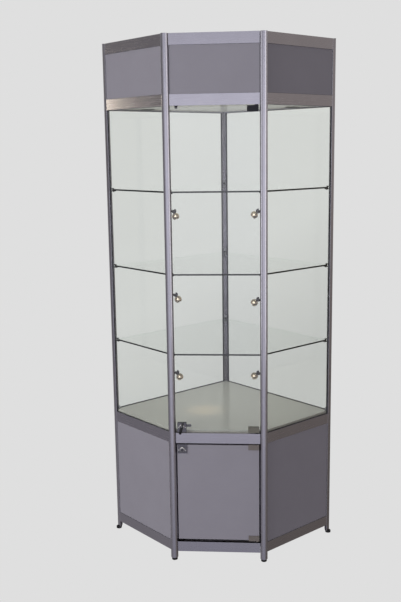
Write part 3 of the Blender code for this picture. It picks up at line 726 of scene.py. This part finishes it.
def shelf_clip(post, shelf):
    """Plate, screws and two jaws, each placed a distance from the post's axis along the inward direction."""
    low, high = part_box(shelf)
    into = inward(post)
    right = np.cross(UP, into)
    centre = np.array([*AXES[post], (low.z + high.z) / 2])
    width, height, thick = PLATE
    at = 13 * MM if not post.startswith("front") else 14.6 * MM
    plate = slab(width, height, thick, 2 * MM, (centre + into * at, right, UP, into))
    foot = slab(5 * MM, height - 6 * MM, 6 * MM, 1 * MM, (centre + into * (at - 3.6 * MM), right, UP, into))
    heads = [button_head((centre + into * (at + thick / 2) + UP * step, right, UP, into), 2.6 * MM, 1.2 * MM)
             for step in (-13.5 * MM, 13.5 * MM)]
    piece(f"clip_plate_{post}_{shelf}", "cabinet", STEEL, [plate, foot, *heads])
    jaws = []
    for face, away, length in ((low.z, -1, 17 * MM), (high.z, 1, 10 * MM)):
        middle_z = face + away * 1.9 * MM
        spot = np.array([*AXES[post], middle_z]) + into * (at + thick / 2 + length / 2 - 0.2 * MM)
        jaws.append(slab(JAW_WIDTH, 3.4 * MM, length, 1.2 * MM, (spot, right, UP, into), ease=0.8 * MM))
    grub = np.array([*AXES[post], low.z - 3.5 * MM]) + into * (at + 9 * MM)
    socket = np.array([(0, 0), (2, 0), (2.4, 0.5), (2.4, 2.4), (1.2, 2.6), (1.1, 1.2), (0, 1.2)]) * MM
    jaws.append(turned(socket, (grub, right, into, -UP), steps=20))
    piece(f"clip_jaws_{post}_{shelf}", "cabinet", BLACK_MOULDING, jaws)


SHELVES = [f"shelf_{index}" for index in (1, 2, 3)]
for shelf in SHELVES:
    for post in POST_NAMES:
        shelf_clip(post, shelf)
for post in ("side_left", "side_right"):
    into = inward(post)
    spot = np.array([*AXES[post], DECK_TOP + 6 * MM]) + into * 17 * MM
    piece(f"deck_clip_{post}", "cabinet", STEEL,
          [slab(11 * MM, 12 * MM, 5 * MM, 1.5 * MM, (spot, np.cross(UP, into), UP, into), ease=0.8 * MM)])
print("shelf clips:", len(SHELVES) * len(POST_NAMES))


# %% [markdown]
# ## Spotlights
#
# Three small lamps stand behind each front post. A steel strip with two screws is fixed to the post, a strap
# runs from it to a bolt, and a ring on the lamp's stem turns about that bolt. The head is a ball of polished
# nickel, warm in tone, and ring and bracket are black nickel. The ball is cut off flat where a frosted lens
# sits inside a bezel. Its tilt axis and its aim at rest come from the joint.

# %% Lamp places from the joints
JOINTS = {joint["name"]: joint for joint in frame["joints"]}
LAMPS = [f"lamp_{side}_{index}" for side in ("left", "right") for index in (1, 2, 3)]
BALL_RADIUS = 13.5 * MM
STEM_REACH = 20 * MM
LENS_DROP = 9.5 * MM


def lamp_frame(lamp):
    """(knuckle, sideways, front, down): down is -Z turned about Y by the aim, towards the cabinet's middle."""
    joint = JOINTS[f"{lamp}_tilt"]
    aim = -np.radians(joint["range_deg"][0])
    side = 1 if "left" in lamp else -1
    down = np.array([side * np.sin(aim), 0, -np.cos(aim)])
    return np.array(joint["pos_m"]), np.cross(Y_AXIS, down), Y_AXIS, down


print("lamp aims:", {lamp: -JOINTS[f"{lamp}_tilt"]["range_deg"][0] for lamp in LAMPS})


# %% [markdown]
# The head's profile runs down from the stem: a collar, the ball as an arc of a circle with two cooling grooves
# pressed into its crown, and a bezel that turns in to the lens. The ring is a flat band bent round the bolt
# with a gap in it, so from the front it reads as a letter C.

# %% Lamp heads, rings and lenses
def ball_profile():
    """Radius R cos(e), drop 20 mm + R sin(e), for elevations e from the collar to the bezel, less the grooves."""
    top, bottom = -np.arccos(3.4 / 13.5), np.arcsin(LENS_DROP / BALL_RADIUS)
    elevation = np.linspace(top, bottom, 40)
    grooves = sum(np.exp(-(((np.degrees(elevation) - spot) / 3.0) ** 2)) for spot in (-52, -38))
    radius = BALL_RADIUS * (1 - 0.045 * grooves)
    ball = np.stack([radius * np.cos(elevation), STEM_REACH + radius * np.sin(elevation)], axis=-1)
    collar = np.array([(0, 5.0), (2.2, 5.0), (2.6, 5.6), (2.6, 6.8)]) * MM
    edge, drop = ball[-1]
    bezel = np.array([(edge, drop + 0.7 * MM), (edge - 0.5 * MM, drop + 1.1 * MM),
                      (edge - 1.3 * MM, drop + 0.8 * MM), (edge - 1.6 * MM, drop - 0.6 * MM),
                      (0, drop - 0.6 * MM)])
    return np.concatenate([collar, ball, bezel])


def open_ring(place, outer, inner, width, gap_degrees):
    """A band of rectangular section, eased, carried round its axis from half the gap to 360 less half."""
    origin, right, up, out = place
    ease = 0.5 * MM
    section = rounded_rectangle(outer - inner, width, ease, steps=3)
    turn = np.radians(np.linspace(gap_degrees / 2, 360 - gap_degrees / 2, 40))[:, None, None]
    radius = section[None, :, :1] + (outer + inner) / 2
    grid = origin + radius * (np.cos(turn) * right + np.sin(turn) * up) + section[None, :, 1:] * out
    return grid_shape(grid, wrap_columns=True, caps=True)


def lens_dome(place, radius, rise):
    """A shallow cap of a sphere: height rise (1 - (r / R) squared), closed behind by a flat disc."""
    share = np.linspace(0, 1, 9)
    cap = np.stack([radius * share, rise * (1 - share**2)], axis=-1)
    return turned([*cap, (radius, -0.8 * MM), (0, -0.8 * MM)], place, steps=40)


for lamp in LAMPS:
    knuckle, sideways, front, down = lamp_frame(lamp)
    upright = (knuckle, sideways, front, down)
    head = turned(ball_profile(), upright, steps=48)
    ring = open_ring((knuckle, -down, sideways, front), 8.6 * MM, 4.4 * MM, 5.4 * MM, 62)
    stem = turned(np.array([(0, 3.6), (1.9, 3.6), (1.9, 9.0), (0, 9.0)]) * MM, upright, steps=20)
    piece(f"{lamp}_head", lamp, WARM_NICKEL, [head], replaces=[lamp])
    piece(f"{lamp}_ring", lamp, BLACK_NICKEL, [ring, stem])
    lens_place = (knuckle + down * (STEM_REACH + LENS_DROP + 0.1 * MM), sideways, front, down)
    piece(f"{lamp}_lens", lamp, WARM_LENS, [lens_dome(lens_place, 8.0 * MM, 1.0 * MM)])
print("lamp heads:", len(LAMPS))


# %% [markdown]
# The bracket is the fixed part. Its strip lies flat against the round post, facing the knuckle, and its strap
# is a flat bar bent along a smooth curve from the strip to an eye in front of the ring. A shouldered bolt goes
# through the eye and the ring.

# %% Lamp brackets
STRIP = (8 * MM, 46 * MM, 1.6 * MM)


def lamp_bracket(lamp):
    """Strap path: (1 - s)^2 start + 2 s (1 - s) bend + s^2 eye, a smooth curve that leaves the strip squarely."""
    knuckle = lamp_frame(lamp)[0]
    post = "front_left" if "left" in lamp else "front_right"
    axis = np.array([*AXES[post], knuckle[2]])
    towards = unit(knuckle - axis)
    across = np.cross(UP, towards)
    width, height, thick = STRIP
    face = axis + towards * (ROUND_RADIUS + thick / 2)
    strip = slab(width, height, thick, 3 * MM, (face + UP * (height / 2 - 6 * MM), across, UP, towards))
    heads = [button_head((face + towards * thick / 2 + UP * step, across, UP, towards), 2.4 * MM, 1.1 * MM)
             for step in (14 * MM, 34 * MM)]
    eye = knuckle - Y_AXIS * 4.3 * MM
    start = face + towards * 0.6 * MM
    bend = start + towards * 7 * MM
    share = np.linspace(0, 1, 14)[:, None]
    path = (1 - share) ** 2 * start + 2 * share * (1 - share) * bend + share**2 * eye
    strap = swept(rounded_rectangle(1.5 * MM, 6.4 * MM, 0.5 * MM, steps=3), path, np.cross(UP, towards))
    disc = turned(np.array([(0, -0.75), (4.6, -0.75), (5.0, -0.4), (5.0, 0.4), (4.6, 0.75), (0, 0.75)]) * MM,
                  (eye, X_AXIS, UP, -Y_AXIS), steps=32)
    bolt = turned(np.array([(0, -4.4), (3.4, -4.4), (3.8, -5.0), (3.4, -6.3), (0, -6.6)][::-1]) * MM,
                  (knuckle, X_AXIS, UP, -Y_AXIS), steps=28)
    shank = turned(np.array([(0, -4.6), (3.5, -4.6), (3.5, 4.6), (0, 4.6)]) * MM,
                   (knuckle, X_AXIS, UP, Y_AXIS), steps=24)
    nut = turned(np.array([(0, 3.3), (4.3, 3.3), (4.5, 3.7), (4.5, 5.4), (3.9, 5.9), (0, 5.9)]) * MM,
                 (knuckle, X_AXIS, UP, Y_AXIS), steps=6)
    piece(f"{lamp}_bracket", "cabinet", BLACK_NICKEL, [strip, *heads, strap, disc])
    piece(f"{lamp}_bolt", "cabinet", CHROME, [bolt, shank, nut])


for lamp in LAMPS:
    lamp_bracket(lamp)
print("lamp brackets:", len(LAMPS))


# %% [markdown]
# ## Locks and key
#
# Each door has a cam lock. Its housing and barrel are chrome on zinc drawn in a dull grey, a painted dark
# reflection. A domed chrome ring trims the barrel where it comes through, and two small screws clamp the
# housing to the door. The folding key has a steel blade in a black moulded bow, with a round rivet where the
# blade folds.

# %% Lock trims, screws and the key
OUT_FRONT = -Y_AXIS


def lock_trim(door):
    """The ring's profile rises from the bezel's front face and rounds over at 7.9 mm radius."""
    axis = np.array(JOINTS[f"{door}_lock_turn"]["pos_m"])
    housing_low, housing_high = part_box(f"{door}_lock_housing")
    bezel_front = np.array([axis[0], housing_low.y, axis[2]])
    ring = [(6.5, -0.3), (6.5, 0.5), (7.2, 1.1), (8.2, 1.1), (9.2, 0.6), (9.8, -0.1), (9.8, -0.3)]
    shapes = [turned(np.array(ring) * MM, (bezel_front, X_AXIS, UP, OUT_FRONT), steps=48, closed=True)]
    plate_front = FRONT_Y - 7.5 * MM
    for step in (-13.2 * MM, 13.2 * MM):
        spot = np.array([axis[0] + step, plate_front, axis[2] - 3 * MM])
        shapes.append(button_head((spot, X_AXIS, UP, OUT_FRONT), 2.3 * MM, 0.9 * MM))
    piece(f"{door}_lock_trim", door, CHROME, shapes)
    print(door, "lock axis:", axis.round(4).tolist(), "housing height:", round(housing_high.z - housing_low.z, 4))


for door in ("glass_door", "base_door"):
    lock_trim(door)

KEY_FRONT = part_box("key")[0].y
LOCK_AXIS = np.array(JOINTS["glass_door_lock_turn"]["pos_m"])
KEY_TILT = np.radians(15)
KEY_UP = np.array([np.sin(KEY_TILT), 0, np.cos(KEY_TILT)])
KEY_RIGHT = np.array([np.cos(KEY_TILT), 0, -np.sin(KEY_TILT)])
BOW = (10.2 * MM, 39.6 * MM, 4.4 * MM)
BOW_DROP = 8 * MM
bow_middle = np.array([LOCK_AXIS[0], KEY_FRONT + BOW[2] / 2 + 0.05 * MM, LOCK_AXIS[2]]) - KEY_UP * BOW_DROP
bow_place = (bow_middle, KEY_RIGHT, KEY_UP, OUT_FRONT)
recess = (bow_middle + OUT_FRONT * 2.25 * MM - KEY_UP * 4 * MM, KEY_RIGHT, KEY_UP, OUT_FRONT)
bow = [slab(*BOW, 5 * MM, bow_place, ease=0.9 * MM),
       slab(5.6 * MM, 24 * MM, 0.5 * MM, 2.7 * MM, recess, ease=0.2 * MM)]
piece("key_bow", "key", BLACK_MOULDING, bow, replaces=["key"])
blade_y = (FRONT_Y + 5 * MM + bow_middle[1]) / 2
blade = slab(1.9 * MM, 7.8 * MM, FRONT_Y + 4.8 * MM - bow_middle[1], 0.4 * MM,
             (np.array([LOCK_AXIS[0], blade_y, LOCK_AXIS[2]]), KEY_RIGHT, KEY_UP, Y_AXIS))
rivet = button_head((bow_middle + KEY_UP * BOW_DROP * 1.5 + OUT_FRONT * 2.1 * MM, KEY_RIGHT, KEY_UP, OUT_FRONT),
                    2.6 * MM, 0.5 * MM)
piece("key_blade", "key", STEEL, [blade, rivet])
print("key bow:", [round(size * 1000, 1) for size in BOW], "mm")


# %% [markdown]
# ## Pivot washers, clamp screws and door stop
#
# A black washer on each pivot pin carries the door and keeps the clamp off the rail. Two socket screws on the
# inner side of each clamp press it onto the door. A small black bumper under the header stops the glass door
# at its free corner.

# %% Washers, clamp screws and the door stop
PIVOT = np.array(JOINTS["glass_door_hinge"]["pos_m"])
CLAMPS = {
    "glass_door_clamp_top": ("glass_door", LEVELS["header_rail"][0], -1),
    "glass_door_clamp_bottom": ("glass_door", LEVELS["base_rail"][1], 1),
    "base_door_clamp_top": ("base_door", LEVELS["base_rail"][0], -1),
    "base_door_clamp_bottom": ("base_door", LEVELS["plinth_rail"][1], 1),
}


def washer(clamp, rail_face, way):
    """A flat ring, 2.4 mm thick, 0.1 mm off the rail's face: an eased section turned about the pivot."""
    profile = np.array([(3.4, 0), (5.8, 0), (6.2, 0.4), (6.2, 2.0), (5.8, 2.4), (3.4, 2.4)]) * MM
    origin = np.array([PIVOT[0], PIVOT[1], rail_face + way * 0.1 * MM])
    piece(f"{clamp}_washer", "cabinet", BLACK_MOULDING,
          [turned(profile, (origin, X_AXIS, Y_AXIS, UP * way), steps=32, closed=True)])


for clamp, (door, rail_face, way) in CLAMPS.items():
    washer(clamp, rail_face, way)
    low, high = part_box(clamp)
    screw_z = (high.z if way < 0 else low.z) + way * 15 * MM
    heads = [button_head((np.array([x, high.y, screw_z]), X_AXIS, UP, Y_AXIS), 2.8 * MM, 1.0 * MM)
             for x in (low.x + 8 * MM, low.x + 21 * MM)]
    piece(f"{clamp}_screws", door, STEEL, heads)
door_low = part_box("glass_door")[0]
stop_place = (np.array([door_low.x + 20 * MM, FRONT_Y + 9.5 * MM, LEVELS["header_rail"][0] - 5.4 * MM]),
              X_AXIS, UP, Y_AXIS)
stop_foot = (stop_place[0] + UP * 4.4 * MM, X_AXIS, Y_AXIS, UP)
piece("glass_door_stop", "cabinet", BLACK_MOULDING,
      [slab(9 * MM, 10 * MM, 9 * MM, 2 * MM, stop_place, ease=1 * MM),
       slab(14 * MM, 12 * MM, 2 * MM, 2 * MM, stop_foot)])
print("clamps:", len(CLAMPS))


# %% [markdown]
# ## Downlights
#
# Two shallow lights are let into the ceiling near the back walls. Each is a pressed trim ring round a frosted
# lens. Seen from below at a low angle, the trim's dark inner slope is what shows.

# %% Downlights
CEILING_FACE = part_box("ceiling_panel")[0].z
TRIM = np.array([(30, -0.2), (30, 1.2), (28.5, 2.6), (27, 2.8), (22, 0.6), (21, -0.2)]) * MM


def downlight(side, x, y):
    place = (np.array([x, y, CEILING_FACE]), X_AXIS, Y_AXIS, -UP)
    piece(f"downlight_trim_{side}", "cabinet", SMOKED_TRIM, [turned(TRIM, place, steps=56, closed=True)])
    piece(f"downlight_lens_{side}", "cabinet", DOWNLIGHT_LENS, [lens_dome(place, 21.2 * MM, 0.9 * MM)])


for side, way in (("left", -1), ("right", 1)):
    downlight(side, way * 0.285, FRONT_Y + 0.345)
print("ceiling underside at", round(CEILING_FACE, 4))


# %% [markdown]
# ## Studio
#
# The cabinet stands on a plain pale floor that runs into a pale surround. Both give their own even light, so no
# horizon and no shadow shows. They are seen by the camera alone: the metal mirrors the reflectors instead.

# %% Floor and surround
BACKDROP = "#DFDFDF"


def stage_material(name):
    """Its own even light and nothing else, so it stays flat in tone and takes no shadow."""
    material, tree, shader = new_material(name)
    tree.nodes.remove(shader)
    glow = node(tree, "Emission", {"Color": linear(BACKDROP), "Strength": 1.0})
    tree.links.new(glow.outputs[0], tree.nodes["Material Output"].inputs["Surface"])
    return material


def stage_piece(name, grid, material, **wrap):
    points, blocks = grid_shape(grid, **wrap)
    mesh = bpy.data.meshes.new(name)
    mesh.from_pydata(points, [], blocks[0].tolist())
    mesh.materials.append(material)
    mesh.shade_smooth()
    made = bpy.data.objects.new(name, mesh)
    bpy.context.scene.collection.objects.link(made)
    return made


SPREAD = np.linspace(-14, 14, 15)
flat = np.stack(np.meshgrid(SPREAD, SPREAD, indexing="ij") + [np.zeros((15, 15))], axis=-1)
floor = stage_piece("studio_floor", flat, stage_material("painted_studio_floor"))
turn = np.linspace(0, 2 * np.pi, 48, endpoint=False)[:, None]
rise = np.linspace(-0.05, np.pi / 2, 16)[None, :]
dome = 13.5 * np.stack([np.cos(turn) * np.cos(rise), np.sin(turn) * np.cos(rise),
                        np.broadcast_to(np.sin(rise), (48, 16))], axis=-1)
surround = stage_piece("studio_surround", dome, stage_material("painted_studio_surround"), wrap_rows=True)
for made in (floor, surround):
    made.visible_diffuse = False
    made.visible_glossy = False
    made.visible_shadow = False
print("studio floor", SPREAD[-1] * 2, "m across")


# %% [markdown]
# ### Reflectors and lamps
#
# A satin metal shows what is round it rather than its own colour, so the rails depend on the reflectors: a broad
# cool one in front, darker ones at the sides, and a pale one behind. They are painted on the world as tones by
# direction and height. Two soft boxes light the whole cabinet. Four more lights fall on chosen parts alone,
# as a studio would do with black flags, because a bright box would otherwise show as a sharp rectangle in the
# panes: a warm card on the left rails, two strips on the round front posts, and a box on the lamp heads and
# locks. They are part of this picture and not of the cabinet, so a model viewer doesn't show them.

# %% Reflectors and lamps of the studio
SKY_STRENGTH = 1.4
STUDIO_TONES = {
    "front": ((-0.60, "#7C7C88"), (-0.40, "#9A99A2"), (-0.30, "#BAB9C4"), (0.02, "#F5F5FF"), (0.06, "#F5F5FF"),
              (0.13, "#A09FA8"), (0.60, "#9E9DA6")),
    "left": ((-0.60, "#9A979A"), (-0.30, "#78757A"), (0.00, "#6C696C"), (0.05, "#575454"), (0.12, "#6E6B6B"),
             (0.60, "#8E8C90")),
    "right": ((-0.60, "#6A645F"), (-0.30, "#6C6560"), (0.00, "#817974"), (0.06, "#98908A"), (0.12, "#8C8683"),
              (0.60, "#86807B")),
    "back": ((-0.60, "#5D5D5E"), (-0.10, "#797979"), (0.00, "#C3C3C3"), (0.40, "#C3C3C3"), (0.60, "#AAAAAC")),
}


def tone_ramp(tree, lift, tones):
    """A tone for each height: z from -1 to 1 is spread over the ramp's 0 to 1."""
    ramp = node(tree, "ValToRGB", {"Fac": lift})
    ends = ramp.color_ramp.elements
    for height, tone in tones[1:-1]:
        ends.new((height + 1) / 2).color = linear(tone)
    for end, (height, tone) in ((ends[0], tones[0]), (ends[len(ends) - 1], tones[-1])):
        end.position, end.color = (height + 1) / 2, linear(tone)
    return ramp.outputs["Color"]


def sky(strength):
    """Each quarter's tone weighed by the square of the direction's share towards it, then summed."""
    world = bpy.data.worlds.new("studio_bounce")
    world.use_nodes = True
    bpy.context.scene.world = world
    tree = world.node_tree
    part = node(tree, "SeparateXYZ", {0: node(tree, "TexCoord").outputs["Generated"]})
    lift = node(tree, "MapRange", {"Value": part.outputs["Z"], "From Min": -1.0}).outputs["Result"]
    total = linear("#000000")
    for quarter, axis, way in (("front", "Y", -1), ("back", "Y", 1), ("left", "X", -1), ("right", "X", 1)):
        towards = node(tree, "Math", {0: part.outputs[axis], 1: way}, operation="MULTIPLY").outputs[0]
        positive = node(tree, "Math", {0: towards, 1: 0.0}, operation="MAXIMUM").outputs[0]
        weight = node(tree, "Math", {0: positive, 1: 2.0}, operation="POWER").outputs[0]
        tone = tone_ramp(tree, lift, STUDIO_TONES[quarter])
        share = node(tree, "VectorMath", {0: tone, 3: weight}, operation="SCALE").outputs[0]
        total = node(tree, "VectorMath", {0: share, 1: total[:3] if isinstance(total, tuple) else total},
                     operation="ADD").outputs[0]
    background = tree.nodes["Background"]
    tree.links.new(total, background.inputs["Color"])
    background.inputs["Strength"].default_value = strength


def soft_box(name, place, target, size, watts, hex_colour):
    """A rectangular area light that faces its target: -Z towards it, X level."""
    data = bpy.data.lights.new(name, "AREA")
    data.shape = "RECTANGLE"
    data.size, data.size_y = size
    data.energy = watts
    data.color = linear(hex_colour)[:3]
    made = bpy.data.objects.new(name, data)
    bpy.context.scene.collection.objects.link(made)
    back = unit(np.array(place) - target)
    right = unit(np.cross(UP, back))
    columns = np.stack([right, np.cross(back, right), back, place], axis=-1)
    made.matrix_world = Matrix([*columns.tolist(), [0, 0, 0, 1]])
    made.visible_camera = False
    return made


sky(SKY_STRENGTH)
CENTRE = np.array([0, 0, TOP / 2])
soft_box("left_soft_box", (-3.0, -3.4, 1.5), CENTRE, (2.4, 2.0), 95, "#FFFFFF").visible_glossy = False
soft_box("overhead_soft_box", (0.2, 0.2, 4.6), CENTRE, (3.0, 3.0), 20, "#FFFFFF")


def only_on(light, members):
    """The light falls on these objects alone, as if black flags stood in the way of the rest."""
    group = bpy.data.collections.new(f"lit_by_{light.name}")
    for member in members:
        group.objects.link(bpy.data.objects[member])
    light.light_linking.receiver_collection = group


def strip_for(name, post, bearing, distance, size, watts):
    """An upright strip at this bearing, in degrees right of straight ahead, as seen from the post."""
    turn = np.radians(bearing)
    spot = np.array([*AXES[post], 1.5]) + distance * np.array([np.sin(turn), -np.cos(turn), 0])
    return soft_box(name, spot, np.array([*AXES[post], 1.5]), size, watts, "#FAFAFF")


only_on(soft_box("left_warm_card", (-1.3, 0.68, 1.46), (0.0, 0.68, 1.46), (1.16, 0.92), watts=15,
                 hex_colour="#FFF1D6"), [f"{level}_left" for level in LEVELS])
LOCK_PARTS = [f"{door}_lock_{part}" for door in ("glass_door", "base_door") for part in ("trim", "housing")]
only_on(soft_box("lamp_sparkle", (-0.9, FRONT_Y - 2.7, 2.0), (0, FRONT_Y, 1.0), (3.6, 3.0), watts=48,
                 hex_colour="#FFFFFF"), [f"{lamp}_head" for lamp in LAMPS] + LOCK_PARTS)
ROUND_POSTS = ["post_front_left_extrusion", "post_front_right_extrusion"]
only_on(strip_for("right_strip", "front_left", 62, 1.6, (0.9, 2.0), 5.5), ROUND_POSTS)
only_on(strip_for("left_strip", "front_right", -80, 1.5, (0.6, 2.0), 5.0), ROUND_POSTS[1:])


def inside_light(name, kind, place, watts, hex_colour, radius, **settings):
    """Light that the cabinet's own lamps spread inside it. A spot points straight down."""
    data = bpy.data.lights.new(name, kind)
    data.energy, data.color, data.shadow_soft_size = watts, linear(hex_colour)[:3], radius
    for key, value in settings.items():
        setattr(data, key, value)
    made = bpy.data.objects.new(name, data)
    bpy.context.scene.collection.objects.link(made)
    made.location = place
    made.visible_camera = made.visible_glossy = False


inside_light("cabinet_fill", "POINT", (0.0, -0.02, 1.22), 7.8, "#FFFFFF", 0.12)
inside_light("deck_pool", "SPOT", (-0.067, FRONT_Y + 0.255, 0.80), 0.7, "#FFD9A0", 0.03,
             spot_size=np.radians(40), spot_blend=1.0)


# %% [markdown]
# ## Camera
#
# The camera stands a little to the right of the cabinet's middle, three metres in front of it and just above
# the top shelf, and looks slightly down. Its axes come from three turns: left by the yaw, down by the pitch,
# then a small roll about the line of sight.

# %% Camera
DISTANCE = 3.04394
CAMERA_PLACE = np.array([0.17546, FRONT_Y - DISTANCE, 1.57964])
YAW, PITCH, ROLL = np.radians([-4.4100, 10.2557, -0.80625])
sight = np.array([np.sin(YAW) * np.cos(PITCH), np.cos(YAW) * np.cos(PITCH), -np.sin(PITCH)])
level = np.array([np.cos(YAW), -np.sin(YAW), 0])
above = np.cross(level, sight)
rolled_right = level * np.cos(ROLL) + above * np.sin(ROLL)
rolled_up = above * np.cos(ROLL) - level * np.sin(ROLL)
camera = bpy.data.objects.new("camera", bpy.data.cameras.new("camera"))
camera.data.lens = 50.25
camera.data.clip_end = 60
axes = np.stack([rolled_right, rolled_up, -sight, CAMERA_PLACE], axis=-1)
camera.matrix_world = Matrix([*axes.tolist(), [0, 0, 0, 1]])
bpy.context.scene.collection.objects.link(camera)
bpy.context.scene.camera = camera
bpy.context.scene.view_settings.view_transform = "Standard"
print("camera at", CAMERA_PLACE.round(3).tolist())
